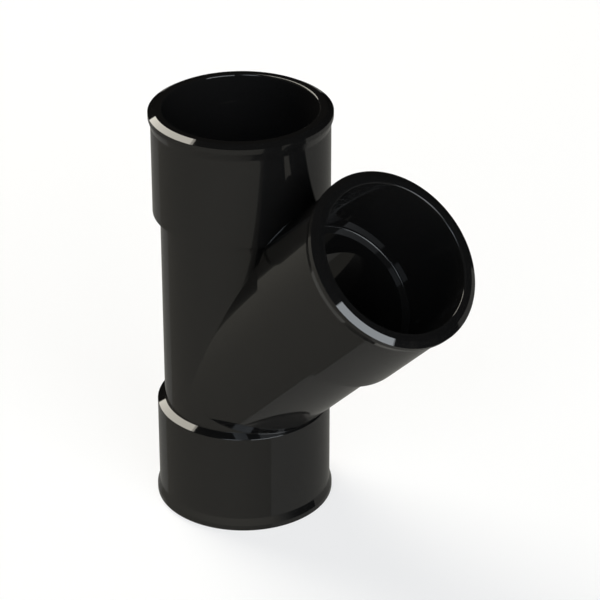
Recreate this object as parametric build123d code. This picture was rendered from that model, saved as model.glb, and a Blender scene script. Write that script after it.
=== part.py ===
from build123d import *
import os

# A 45 degree lateral wye for solvent-welded pipe, moulded in one piece of glossy black plastic.
# Three legs meet where their axes cross. Two are in line and make the run, which stands upright on
# its bottom mouth, and the third is the branch. Each leg is a tube that widens at a shoulder into a
# socket for a pipe, with a stop inside for the pipe's end and a bead round the socket's mouth.

# Driving dimensions, in millimetres and degrees.

# The pipe that the sockets take, 1 1/2 inch nominal, and the room that it has all round.
pipe_radius = 24.13
socket_clearance = 0.07
socket_depth = 31.5

# How far each stop stands in from its socket's bore, and the walls round the waterway and the socket.
stop_height = 2.6
body_wall = 3.9
socket_wall = 3.65

# From the crossing of the axes to the stop that each pipe's end meets.
bottom_stop_reach = 12.2
top_stop_reach = 62.1
branch_stop_reach = 62.1
branch_angle = 45.0

# The shoulder outside each socket: how far behind the stop its edge lies, and its rise along the axis.
shoulder_setback = 3.15
shoulder_rise = 1.15

# The bead at each mouth, from the face inwards: a chamfer, a straight band and a cone to the socket.
bead_height = 0.75
rim_chamfer_width = 1.9
rim_chamfer_length = 1.2
bead_width = 1.6
bead_run_out = 2.45

# The rounding between each socket's bore and the flat face of its mouth.
mouth_rounding = 0.6

# Sizes that follow from the driving ones.
socket_radius = pipe_radius + socket_clearance
waterway_radius = socket_radius - stop_height
socket_outer_radius = socket_radius + socket_wall
body_radius = waterway_radius + body_wall
bead_radius = socket_outer_radius + bead_height
rim_radius = bead_radius - rim_chamfer_width
crossing_height = bottom_stop_reach + socket_depth

# The rounding takes at most this share of the face between the bore and the chamfer.
ROUNDING_SHARE = 0.45
# How close an edge's radius and centre come to the stated ones when it is picked out.
NEAR = 0.001


def turned(corners):
    """A solid of revolution about Z, from the corners of its section, given as (radius, height)."""
    with BuildPart() as solid:
        with BuildSketch(Plane.XZ):
            with BuildLine():
                Polyline(corners, close=True)
            make_face()
        revolve(axis=Axis.Z)
    return solid.part


class Leg:
    """One leg, drawn along +Z from the crossing of the axes, then tilted about Y and set in place."""

    def __init__(self, stop_reach, tilt):
        self.stop = stop_reach
        self.mouth = stop_reach + socket_depth
        self.place = Location((0, 0, crossing_height), (0, tilt, 0))

    def outside(self):
        """The outer form, still solid: tube, shoulder, socket and bead."""
        shoulder = self.stop - shoulder_setback
        band_end = self.mouth - rim_chamfer_length
        band_start = band_end - bead_width
        return self.place * turned([
            (0, 0),
            (body_radius, 0),
            (body_radius, shoulder - shoulder_rise),
            (socket_outer_radius, shoulder),
            (socket_outer_radius, band_start - bead_run_out),
            (bead_radius, band_start),
            (bead_radius, band_end),
            (rim_radius, self.mouth),
            (0, self.mouth),
        ])

    def passage(self):
        """The hollow: the waterway as far as the stop, then the socket's bore out of the mouth."""
        return self.place * turned([
            (0, 0),
            (waterway_radius, 0),
            (waterway_radius, self.stop),
            (socket_radius, self.stop),
            (socket_radius, self.mouth + socket_wall),
            (0, self.mouth + socket_wall),
        ])

    def ring(self, solid, radius, distance):
        """The solid's round edge of this radius, this far along the leg's axis."""
        centre = (self.place * Location((0, 0, distance))).position
        rounds = solid.edges().filter_by(GeomType.CIRCLE)
        return rounds.filter_by(
            lambda edge: abs(edge.radius - radius) < NEAR and (edge.arc_center - centre).length < NEAR
        )


bottom = Leg(bottom_stop_reach, 180)
top = Leg(top_stop_reach, 0)
branch = Leg(branch_stop_reach, branch_angle)
legs = [bottom, top, branch]

wye = bottom.outside() + top.outside() + branch.outside()
for leg in legs:
    wye -= leg.passage()

rounding = min(mouth_rounding, ROUNDING_SHARE * (rim_radius - socket_radius))
for leg in legs:
    wye = fillet(leg.ring(wye, socket_radius, leg.mouth), rounding)

os.makedirs("parts", exist_ok=True)
export_step(wye, "parts/wye_body.step")
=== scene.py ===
import math

import bmesh
import bpy
import numpy as np
from mathutils import Matrix, Vector


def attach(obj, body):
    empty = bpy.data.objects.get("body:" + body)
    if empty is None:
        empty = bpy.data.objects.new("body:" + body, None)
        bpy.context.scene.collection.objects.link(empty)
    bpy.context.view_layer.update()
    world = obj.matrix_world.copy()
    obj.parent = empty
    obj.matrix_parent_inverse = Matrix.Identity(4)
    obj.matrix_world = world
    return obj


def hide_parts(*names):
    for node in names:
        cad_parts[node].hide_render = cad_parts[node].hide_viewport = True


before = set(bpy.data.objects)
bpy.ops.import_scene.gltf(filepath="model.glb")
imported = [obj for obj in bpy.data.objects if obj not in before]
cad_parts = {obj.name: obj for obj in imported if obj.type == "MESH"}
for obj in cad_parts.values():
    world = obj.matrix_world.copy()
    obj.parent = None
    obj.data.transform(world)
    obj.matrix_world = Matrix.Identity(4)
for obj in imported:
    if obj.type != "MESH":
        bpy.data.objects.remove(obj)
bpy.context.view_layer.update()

# A 45 degree lateral wye for solvent-welded pipe, moulded in one piece of glossy black plastic.
# The skin is turned leg by leg, joined and hollowed, and shaded with the true normals of its section.

# The fitting's sizes, in millimetres and degrees.
socket_radius = 24.2
socket_depth = 31.5
stop_height = 2.6
body_wall = 3.9
socket_wall = 3.65
bottom_stop = 12.2
top_stop = 62.1
branch_stop = 62.1
branch_angle = 45.0
shoulder_setback = 3.15
shoulder_rise = 1.23
bead_height = 0.75
chamfer_width = 1.9
chamfer_length = 1.09
bead_width = 1.6
bead_run_out = 2.45

# The small roundings that the mould leaves, in millimetres.
shoulder_rounding = 0.28
foot_rounding = 0.06
run_out_rounding = 0.5
stop_corner_rounding = 0.55
mouth_rounding = 0.6
crotch_rounding = 0.15

# Sizes that follow from these.
waterway_radius = socket_radius - stop_height
socket_outside = socket_radius + socket_wall
body_radius = waterway_radius + body_wall
bead_radius = socket_outside + bead_height
rim_radius = bead_radius - chamfer_width
crossing = Vector((0, 0, bottom_stop + socket_depth))

# How finely the skin is made.
facets_round = 192
degrees_to_facet = 12.0
crotch_strips = 6
# How far a cut reaches past the mouth, and its rounding past the mouth's face, in millimetres.
overshoot = 1.0
hair = 0.001
# The cosine of the angle, about a degree, from which two faces meet in a crease.
crease_cosine = 0.9998
# The scene is in metres.
millimetre = 0.001


class Outline:
    """Half of a turned section: runs from point to point, each with the true normals at its two ends."""

    def __init__(self, corners, side):
        """Corners are (radius, distance, rounding). Side is 1 for an outside and -1 for a passage."""
        self.points, self.starts, self.ends = [], [], []
        self.side = side
        place = [np.array(c[:2], float) for c in corners]
        self.points.append(place[0])
        for here in range(1, len(corners)):
            rounding = corners[here][2]
            if rounding and here + 1 < len(corners):
                self._bend(place[here - 1], place[here], place[here + 1], rounding)
            else:
                self._straight(place[here])

    def _normal(self, step):
        return self.side * np.array((step[1], -step[0])) / np.hypot(*step)

    def _straight(self, point):
        if np.allclose(point, self.points[-1]):
            return
        normal = self._normal(point - self.points[-1])
        self.points.append(point)
        self.starts.append(normal)
        self.ends.append(normal)

    def _bend(self, before, corner, after, rounding):
        """Rounds the corner in facets, which carry the normals of the true arc."""
        back = (before - corner) / np.hypot(*(before - corner))
        onward = (after - corner) / np.hypot(*(after - corner))
        half = math.acos(np.clip(back @ onward, -1, 1)) / 2
        inward = (back + onward) / np.hypot(*(back + onward))
        centre = corner + inward * rounding / math.sin(half)
        self._straight(corner + back * rounding / math.tan(half))
        turn = math.pi - 2 * half
        first = self.points[-1] - centre
        last = corner + onward * rounding / math.tan(half) - centre
        facing = math.copysign(1, first @ self.ends[-1])
        sense = math.copysign(1, first[0] * last[1] - first[1] * last[0])
        count = max(2, math.ceil(math.degrees(turn) / degrees_to_facet))
        previous = first
        for k in range(1, count + 1):
            a = sense * turn * k / count
            arm = np.array((first[0] * math.cos(a) - first[1] * math.sin(a),
                            first[0] * math.sin(a) + first[1] * math.cos(a)))
            self.points.append(centre + arm)
            self.starts.append(facing * previous / rounding)
            self.ends.append(facing * arm / rounding)
            previous = arm


def turned(name, outline, place):
    """A closed solid: the outline turned about its axis, with a flat face at each end."""
    n = facets_round
    angles = np.arange(n) * math.tau / n
    verts = [place @ Vector((r * math.cos(a), r * math.sin(a), d)) for r, d in outline.points for a in angles]
    last = len(outline.points) - 1
    faces = [[k * n + i, k * n + (i + 1) % n, (k + 1) * n + (i + 1) % n, (k + 1) * n + i]
             for k in range(last) for i in range(n)]
    faces.append(list(reversed(range(n))))
    faces.append([last * n + i for i in range(n)])
    mesh = bpy.data.meshes.new(name)
    mesh.from_pydata(verts, [], faces)
    made = bpy.data.objects.new(name, mesh)
    bpy.context.scene.collection.objects.link(made)
    return made


def carve(base, tool, operation):
    """Joins the tool to the base, or cuts it out of it, and deletes it."""
    step = base.modifiers.new("carve", "BOOLEAN")
    step.operation = operation
    step.solver = "MANIFOLD"
    step.object = tool
    shaped = bpy.data.meshes.new_from_object(base.evaluated_get(bpy.context.evaluated_depsgraph_get()))
    base.modifiers.remove(step)
    base.data = shaped
    bpy.data.objects.remove(tool)


def leg_outside(stop):
    """The outside of one leg, from the crossing outwards: shoulder, socket, bead and rim."""
    mouth = stop + socket_depth
    band_end = mouth - chamfer_length
    band_start = band_end - bead_width
    shoulder = stop - shoulder_setback
    return [
        (body_radius, shoulder - shoulder_rise, foot_rounding),
        (socket_outside, shoulder, shoulder_rounding),
        (socket_outside, band_start - bead_run_out, run_out_rounding),
        (bead_radius, band_start, run_out_rounding),
        (bead_radius, band_end, 0),
        (rim_radius, mouth, 0),
        (waterway_radius, mouth, 0),
    ]


def leg_passage(stop):
    """The hollow of one leg, from the crossing outwards: waterway, stop, socket and rounded mouth."""
    mouth = stop + socket_depth
    return [
        (waterway_radius, stop, 0),
        (socket_radius, stop, stop_corner_rounding),
        (socket_radius, mouth + hair, mouth_rounding),
        (socket_radius + mouth_rounding, mouth + hair, 0),
        (socket_radius + mouth_rounding, mouth + overshoot, 0),
    ]


def mirrored(corners):
    """The same leg pointing the other way, to be drawn from its mouth to the crossing."""
    return [(r, -d, rounding) for r, d, rounding in reversed(corners)]


# The run's two legs are one outline. The outsides come first, then the passages.
upright = Matrix.Translation(crossing)
slanted = upright @ Matrix.Rotation(math.radians(branch_angle), 4, "Y")
surfaces = {
    "run_outside": (Outline(mirrored(leg_outside(bottom_stop)) + leg_outside(top_stop), 1), upright),
    "branch_outside": (Outline([(body_radius, 0, 0)] + leg_outside(branch_stop), 1), slanted),
    "run_passage": (Outline(mirrored(leg_passage(bottom_stop)) + leg_passage(top_stop), -1), upright),
    "branch_passage": (Outline([(waterway_radius, 0, 0)] + leg_passage(branch_stop), -1), slanted),
}
run, branch = 0, 1
first_passage = 2


def in_section(points, back):
    """Points in a leg's own frame, and their radius and distance there."""
    flat = points @ back[:3, :3].T + back[:3, 3]
    radius = np.hypot(flat[:, 0], flat[:, 1])
    return flat, np.column_stack((radius, flat[:, 2]))


def corner_faces(mesh):
    """The face of each corner."""
    return np.concatenate([np.full(p.loop_total, p.index) for p in mesh.polygons])


def section_normals(mesh):
    """For each corner of each face, its true normal and the number of the surface that the face lies on."""
    corner_points = np.array([mesh.vertices[l.vertex_index].co for l in mesh.loops])
    corner_face = corner_faces(mesh)
    middles = np.array([p.center for p in mesh.polygons])
    best = np.full(len(middles), np.inf)
    owner = np.zeros(len(middles), int)
    normals = np.zeros((len(corner_points), 3))
    for number, (outline, place) in enumerate(surfaces.values()):
        back = np.array(place.inverted())
        turn = np.array(place.to_3x3())
        _, middle = in_section(middles, back)
        flat, corner = in_section(corner_points, back)
        # A face lies on the run of the outline that its middle is nearest to.
        begin = np.array(outline.points[:-1])
        along = np.array(outline.points[1:]) - begin
        length = (along ** 2).sum(1)
        share = np.clip(((middle[:, None] - begin) * along).sum(2) / length, 0, 1)
        gap = np.linalg.norm(begin + share[..., None] * along - middle[:, None], axis=2)
        closer = gap.min(1) < best
        best[closer] = gap.min(1)[closer]
        owner[closer] = number
        # Its corners take their normals from that run, turned round the axis to where they are.
        nearest = gap.argmin(1)[corner_face]
        t = np.clip(((corner - begin[nearest]) * along[nearest]).sum(1) / length[nearest], 0, 1)[:, None]
        n = np.array(outline.starts)[nearest] * (1 - t) + np.array(outline.ends)[nearest] * t
        n /= np.linalg.norm(n, axis=1)[:, None]
        radial = flat[:, :2] / np.maximum(corner[:, :1], 1e-9)
        mine = closer[corner_face]
        normals[mine] = (np.column_stack((radial * n[:, :1], n[:, 1])) @ turn.T)[mine]
    return normals, owner[corner_face]


def sides_of_edges(mesh):
    """The edges, the two corners that lie along each, and for every corner the next one of its face."""
    following = np.arange(len(mesh.loops)) + 1
    for face in mesh.polygons:
        following[face.loop_start + face.loop_total - 1] = face.loop_start
    edge = np.zeros(len(mesh.loops), int)
    mesh.loops.foreach_get("edge_index", edge)
    order = np.argsort(edge, kind="stable")
    return edge[order[0::2]], order[0::2], order[1::2], following


def shade(mesh, normals):
    """Shades the mesh with these normals, sharp where two faces differ in theirs."""
    edge, one, other, following = sides_of_edges(mesh)
    likeness = np.minimum((normals[one] * normals[following[other]]).sum(1),
                          (normals[following[one]] * normals[other]).sum(1))
    sharp = np.zeros(len(mesh.edges), bool)
    sharp[edge] = likeness < crease_cosine
    mesh.shade_smooth()
    mesh.edges.foreach_set("use_edge_sharp", sharp)
    mesh.normals_split_custom_set(normals.tolist())


def crotch_fillet(mesh, normals, owner):
    """The small hollow rounding along the line where the branch leaves the run."""
    _, one, other, following = sides_of_edges(mesh)
    vertex = np.array([l.vertex_index for l in mesh.loops])
    sums = {}
    steps = []
    # The numbers of two surfaces add up to this only where the run's outside meets the branch's.
    meets = owner[one] + owner[other] == run + branch
    for a, b in zip(one[meets], other[meets]):
        if owner[a] == branch:
            a, b = b, a
        for place, on_run, on_branch in ((vertex[a], a, following[b]), (vertex[b], following[a], b)):
            pair = sums.setdefault(place, np.zeros((2, 3)))
            pair += normals[[on_run, on_branch]]
        steps.append((vertex[a], vertex[b]))
    # At each point of the line an arc goes from the run's normal to the branch's.
    verts, vertex_normals, rows = [], [], {}
    for place, pair in sums.items():
        first, last = pair / np.linalg.norm(pair, axis=1)[:, None]
        angle = math.acos(np.clip(first @ last, -1, 1))
        centre = np.array(mesh.vertices[place].co) + crotch_rounding * (first + last) / (1 + first @ last)
        rows[place] = len(verts)
        for k in range(crotch_strips + 1):
            t = k / crotch_strips
            n = (first * math.sin((1 - t) * angle) + last * math.sin(t * angle)) / math.sin(angle)
            verts.append(centre - crotch_rounding * n)
            vertex_normals.append(n)
    faces = []
    for a, b in steps:
        for k in range(crotch_strips):
            corners = [rows[a] + k, rows[b] + k, rows[b] + k + 1, rows[a] + k + 1]
            p = [np.array(verts[c]) for c in corners]
            if np.cross(p[2] - p[0], p[3] - p[1]) @ vertex_normals[corners[0]] < 0:
                corners.reverse()
            faces.append(corners)
    strip = bpy.data.meshes.new("crotch_fillet")
    strip.from_pydata(verts, [], faces)
    strip.shade_smooth()
    strip.normals_split_custom_set([vertex_normals[l.vertex_index].tolist() for l in strip.loops])
    made = bpy.data.objects.new("crotch_fillet", strip)
    bpy.context.scene.collection.objects.link(made)
    return made


def clean(mesh):
    """Merges the points that a join leaves within a hair of each other, and drops the slivers between."""
    shape = bmesh.new()
    shape.from_mesh(mesh)
    bmesh.ops.remove_doubles(shape, verts=shape.verts, dist=hair / 2)
    bmesh.ops.dissolve_degenerate(shape, edges=shape.edges, dist=hair / 2)
    if any(len(e.link_faces) != 2 for e in shape.edges):
        raise ValueError("the skin isn't closed")
    shape.to_mesh(mesh)
    shape.free()


def fitting_skin():
    """The whole fitting as one closed skin, with the fillet laid along its crotch."""
    skin = turned("wye_skin", *surfaces["run_outside"])
    carve(skin, turned("branch_outside", *surfaces["branch_outside"]), "UNION")
    hollow = turned("run_passage", *surfaces["run_passage"])
    carve(hollow, turned("branch_passage", *surfaces["branch_passage"]), "UNION")
    carve(skin, hollow, "DIFFERENCE")
    clean(skin.data)
    normals, owner = section_normals(skin.data)
    shade(skin.data, normals)
    # The outside comes from the polished mould, the bores from its cores, which are a little less bright. The
    # bores' colour is also made a quarter paler, which is painted light that lifts the shade inside them.
    skin.data.materials.clear()
    outside = moulded_black("polished_outside", gloss=0.5, paleness=1.0, peel_depth=0.0000014)
    # Painted light: the bores' colour is a quarter paler than the outside's.
    bore = moulded_black("cored_bore_painted_paler", gloss=0.34, paleness=1.25, peel_depth=0.0000008)
    skin.data.materials.append(outside)
    skin.data.materials.append(bore)
    in_bore = np.zeros(len(skin.data.polygons), int)
    in_bore[corner_faces(skin.data)] = owner >= first_passage
    skin.data.polygons.foreach_set("material_index", in_bore)
    fillet = crotch_fillet(skin.data, normals, owner)
    fillet.data.materials.append(outside)
    with bpy.context.temp_override(active_object=skin, selected_editable_objects=[skin, fillet]):
        bpy.ops.object.join()
    skin.data.transform(Matrix.Scale(millimetre, 4))
    return skin


class Wire:
    """The output of a node, with Python's arithmetic: each operator adds a Math node."""

    def __init__(self, nodes, socket):
        self.nodes = nodes
        self.socket = socket

    def math(self, operation, first, second):
        """One Math node on two numbers or wires."""
        return self.nodes.node("Math", {"operation": operation}, {0: first, 1: second})["Value"]

    def __add__(self, other):
        return self.math("ADD", self, other)

    __radd__ = __add__

    def __sub__(self, other):
        return self.math("SUBTRACT", self, other)

    def __rsub__(self, other):
        return self.math("SUBTRACT", other, self)

    def __mul__(self, other):
        return self.math("MULTIPLY", self, other)

    __rmul__ = __mul__

    def __truediv__(self, other):
        return self.math("DIVIDE", self, other)

    def at_least(self, least):
        return self.math("MAXIMUM", self, least)

    def smooth(self, low, high):
        """0 below low, 1 above high, and eased between."""
        sockets = {"Value": self, "From Min": low, "From Max": high}
        return self.nodes.node("MapRange", {"interpolation_type": "SMOOTHSTEP"}, sockets)["Result"]


class Nodes:
    """The nodes of a material, a lamp or the world, built afresh."""

    def __init__(self, owner):
        owner.use_nodes = True
        self.tree = owner.node_tree
        self.tree.nodes.clear()

    def node(self, kind, settings=None, sockets=None):
        """One node: its settings first, then the values or links of its sockets. Returns its outputs."""
        made = self.tree.nodes.new("ShaderNode" + kind)
        for name, value in (settings or {}).items():
            setattr(made, name, value)
        for key, value in (sockets or {}).items():
            if isinstance(value, Wire):
                self.tree.links.new(value.socket, made.inputs[key])
            else:
                made.inputs[key].default_value = value
        return {out.name: Wire(self, out) for out in made.outputs if out.enabled}

    def colour_mix(self, share, first, second):
        """A blend of two colours, which are sockets 6 and 7 of a Mix node."""
        return self.node("Mix", {"data_type": "RGBA"}, {"Factor": share, 6: first, 7: second})["Result"]


def moulded_black(name, gloss, paleness, peel_depth):
    """Nearly black gloss moulding compound, with a drift of tone, a fine speckle and a faint orange peel.

    Gloss is the shader's specular level, paleness a factor on the colour, and peel_depth is in metres. A
    paleness above 1 is painted light, which lifts the colour where shade falls.
    """
    material = bpy.data.materials.new(name)
    n = Nodes(material)
    place = n.node("TexCoord")["Object"]
    # Each noise's patches are about one over its scale in metres.
    peel = n.node("TexNoise", {}, {"Vector": place, "Scale": 420.0, "Detail": 2.0})["Fac"]
    speck = n.node("TexNoise", {}, {"Vector": place, "Scale": 4200.0, "Detail": 1.0})["Fac"]
    drift = n.node("TexNoise", {}, {"Vector": place, "Scale": 45.0, "Detail": 3.0})["Fac"]
    dark = [channel * paleness for channel in (0.0046, 0.0045, 0.0045)]
    light = [channel * paleness for channel in (0.0060, 0.0058, 0.0056)]
    colour = n.colour_mix(drift, (*dark, 1), (*light, 1))
    height = peel + speck * 0.03
    relief = n.node("Bump", {}, {"Strength": 1.0, "Distance": peel_depth, "Height": height})["Normal"]
    shader = n.node("BsdfPrincipled", {}, {
        "Base Color": colour,
        "Roughness": 0.02 + drift * 0.01 + speck * 0.01,
        "IOR": 1.5,
        "Specular IOR Level": gloss,
        "Normal": relief,
    })["BSDF"]
    n.node("OutputMaterial", {}, {"Surface": shader})
    return material


def pale_floor():
    """A plain white floor that keeps the fitting's shadow."""
    material = bpy.data.materials.new("pale_floor")
    n = Nodes(material)
    matt = n.node("BsdfDiffuse", {}, {"Color": (0.92, 0.92, 0.93, 1)})["BSDF"]
    white = n.node("Emission", {}, {"Color": (1, 1, 1, 1), "Strength": 1.0})["Emission"]
    # For the camera it is lifted most of the way to white.
    lift = n.node("LightPath")["Is Camera Ray"] * 0.72
    n.node("OutputMaterial", {}, {"Surface": n.node("MixShader", {}, {0: lift, 1: matt, 2: white})["Shader"]})
    mesh = bpy.data.meshes.new("floor")
    reach = 4.0
    corners = [(-reach, -reach, 0), (reach, -reach, 0), (reach, reach, 0), (-reach, reach, 0)]
    mesh.from_pydata(corners, [], [(0, 1, 2, 3)])
    floor = bpy.data.objects.new("floor", mesh)
    floor.data.materials.append(material)
    bpy.context.scene.collection.objects.link(floor)
    # The plastic mirrors the table of the surroundings in its place.
    floor.visible_glossy = False


def surroundings():
    """What the plastic mirrors: a pale table in two sheets with a seam, under a dark room.

    x, y and z are the way that a ray leaves: to the branch's side, to the back and up. A ray that goes down
    meets the table at x / down and y / down, counted in heights above the table.
    """
    world = bpy.data.worlds.new("surroundings")
    bpy.context.scene.world = world
    n = Nodes(world)
    way = n.node("SeparateXYZ", {}, {0: n.node("TexCoord")["Generated"]})
    x, y, z = way["X"], way["Y"], way["Z"]
    down = -1 * z
    # The seam, then the far sheet's right, left and back edges, and how soft they all are.
    seam, right_edge, left_edge, back_edge = -0.21, 3.3, -4.7, 7.2
    soft = 0.004
    far = (y - seam * down).smooth(-soft, soft)
    sheet = (right_edge * down - x).smooth(-soft, soft) * (x - left_edge * down).smooth(-soft, soft)
    sheet = sheet * (back_edge * down - y).smooth(-soft, soft)
    below = down.smooth(-soft, 3 * soft)
    # How bright the two sheets are. The near one glows a little towards the horizon.
    near_level = 0.289 + 0.056 * x - 0.176 * y + 0.145 * z
    glow = (1 + z * 2.2).at_least(0)
    near_level = near_level + glow * glow * 0.1
    far_level = 0.365 + 0.079 * x - 0.109 * y + 0.065 * z
    # On the left the near part goes on above the horizon, up to a pale wall.
    brim = 0.07 + 0.25 * (x * -1).at_least(0) - z
    # Far off on the right the table dims towards the back.
    dimness = y.smooth(-0.25, 0.45)
    near_level = near_level * brim.smooth(-0.03, 0.03) * (1 - dimness * (x - 7 * down).smooth(0.0, 0.3))
    distance = (1 - dimness) * x.smooth(0.5, 0.9) * below * 0.45
    # The fitting's own shade on the table, a slanted oval to its right, takes about half the light away.
    steep = down.at_least(0.05)
    right, back = x / steep - 0.35, y / steep - 0.25
    across = (right * 0.95 - back * 0.3) / 0.42
    along = (right * 0.3 + back * 0.95) / 0.7
    oval = 1 - (across * across + along * along).smooth(0.8, 1.25)
    shaded = 1 - oval * (x / steep).smooth(-0.06, 0.02) * 0.52
    far_sheet = sheet * below
    level = (near_level * (1 - far) + (far_level * far_sheet + distance * (1 - far_sheet)) * far) * shaded
    tint = n.colour_mix(far, (1.07, 1.03, 0.90, 1), (1.035, 1.02, 0.945, 1))
    table = n.node("Background", {}, {"Color": tint, "Strength": level})["Background"]
    white = n.node("Background", {}, {"Color": (1, 1, 1, 1), "Strength": 1.0})["Background"]
    seen = n.node("LightPath")["Is Camera Ray"]
    n.node("OutputWorld", {}, {"Surface": n.node("MixShader", {}, {0: seen, 1: table, 2: white})["Shader"]})


def softbox(name, bearing, rise, roll, sides, heights, colour, radiance, gain=0.0):
    """A soft-edged lamp that faces the fitting. Its bearing, rise and roll are in degrees.

    Sides and heights are where its edges lie, as shares of its distance. Gain is how much brighter it is at
    its head than at its foot, as a share of its radiance.
    """
    heading = math.radians(bearing)
    toward = Vector((math.cos(heading), math.sin(heading), 0)) * math.cos(math.radians(rise))
    toward.z = math.sin(math.radians(rise))
    along = toward.cross(Vector((0, 0, 1))).normalized()
    along.rotate(Matrix.Rotation(math.radians(roll), 3, toward))
    up = along.cross(toward)
    centre = toward + along * (sides[0] + sides[1]) / 2 + up * (heights[0] + heights[1]) / 2
    turn = Matrix((-along, up, toward)).transposed()
    # Two lamps of half the strength, one behind the other and a little larger, give it the soft edge.
    feather = 0.014
    for layer, distance, margin in (("front", 3.0, -feather), ("back", 3.1, feather)):
        width = (sides[1] - sides[0] + margin) * distance
        height = (heights[1] - heights[0] + margin) * distance
        lamp = bpy.data.lights.new(name + "_" + layer, "AREA")
        lamp.shape = "RECTANGLE"
        lamp.size = width
        lamp.size_y = height
        lamp.color = colour
        lamp.energy = radiance / 2 * width * height * math.pi
        n = Nodes(lamp)
        upwards = n.node("SeparateXYZ", {}, {0: n.node("NewGeometry")["Parametric"]})["Y"]
        glow = n.node("Emission", {}, {"Strength": 1 + gain * (upwards - 0.5)})["Emission"]
        n.node("OutputLight", {}, {"Surface": glow})
        box = bpy.data.objects.new(lamp.name, lamp)
        bpy.context.scene.collection.objects.link(box)
        box.matrix_world = Matrix.Translation(centre * distance) @ turn.to_4x4()
        box.visible_camera = False


def studio_lamps():
    """A warm softbox on the left, and two cool ones on either side of the camera."""
    softbox("warm", bearing=184, rise=40, roll=17.5, sides=(-0.215, 0.343), heights=(-0.42, 0.526),
            colour=(1.07, 1.02, 0.9), radiance=7.2, gain=0.55)
    softbox("cool_left", bearing=300, rise=35, roll=-12.5, sides=(-0.163, 0.163), heights=(-0.25, 0.25),
            colour=(0.91, 1.0, 1.10), radiance=5.0)
    softbox("cool_right", bearing=345, rise=0, roll=0, sides=(-0.382, 0.364), heights=(0.045, 0.786),
            colour=(0.94, 1.0, 1.05), radiance=6.0)


def camera():
    """The photograph's view: from the front right, looking down at 29 degrees."""
    lens = bpy.data.cameras.new("camera")
    lens.sensor_width = 36
    lens.lens = 165.65
    made = bpy.data.objects.new("camera", lens)
    made.location = (0.55873, -0.52890, 0.49231)
    ahead = Vector((-0.6221, 0.6174, -0.4815))
    made.rotation_mode = "QUATERNION"
    made.rotation_quaternion = ahead.to_track_quat("-Z", "Y")
    bpy.context.scene.collection.objects.link(made)
    bpy.context.scene.camera = made


bpy.context.scene.view_settings.view_transform = "Standard"
camera()
skin = fitting_skin()
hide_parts("wye_body")
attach(skin, "root")
pale_floor()
surroundings()
studio_lamps()
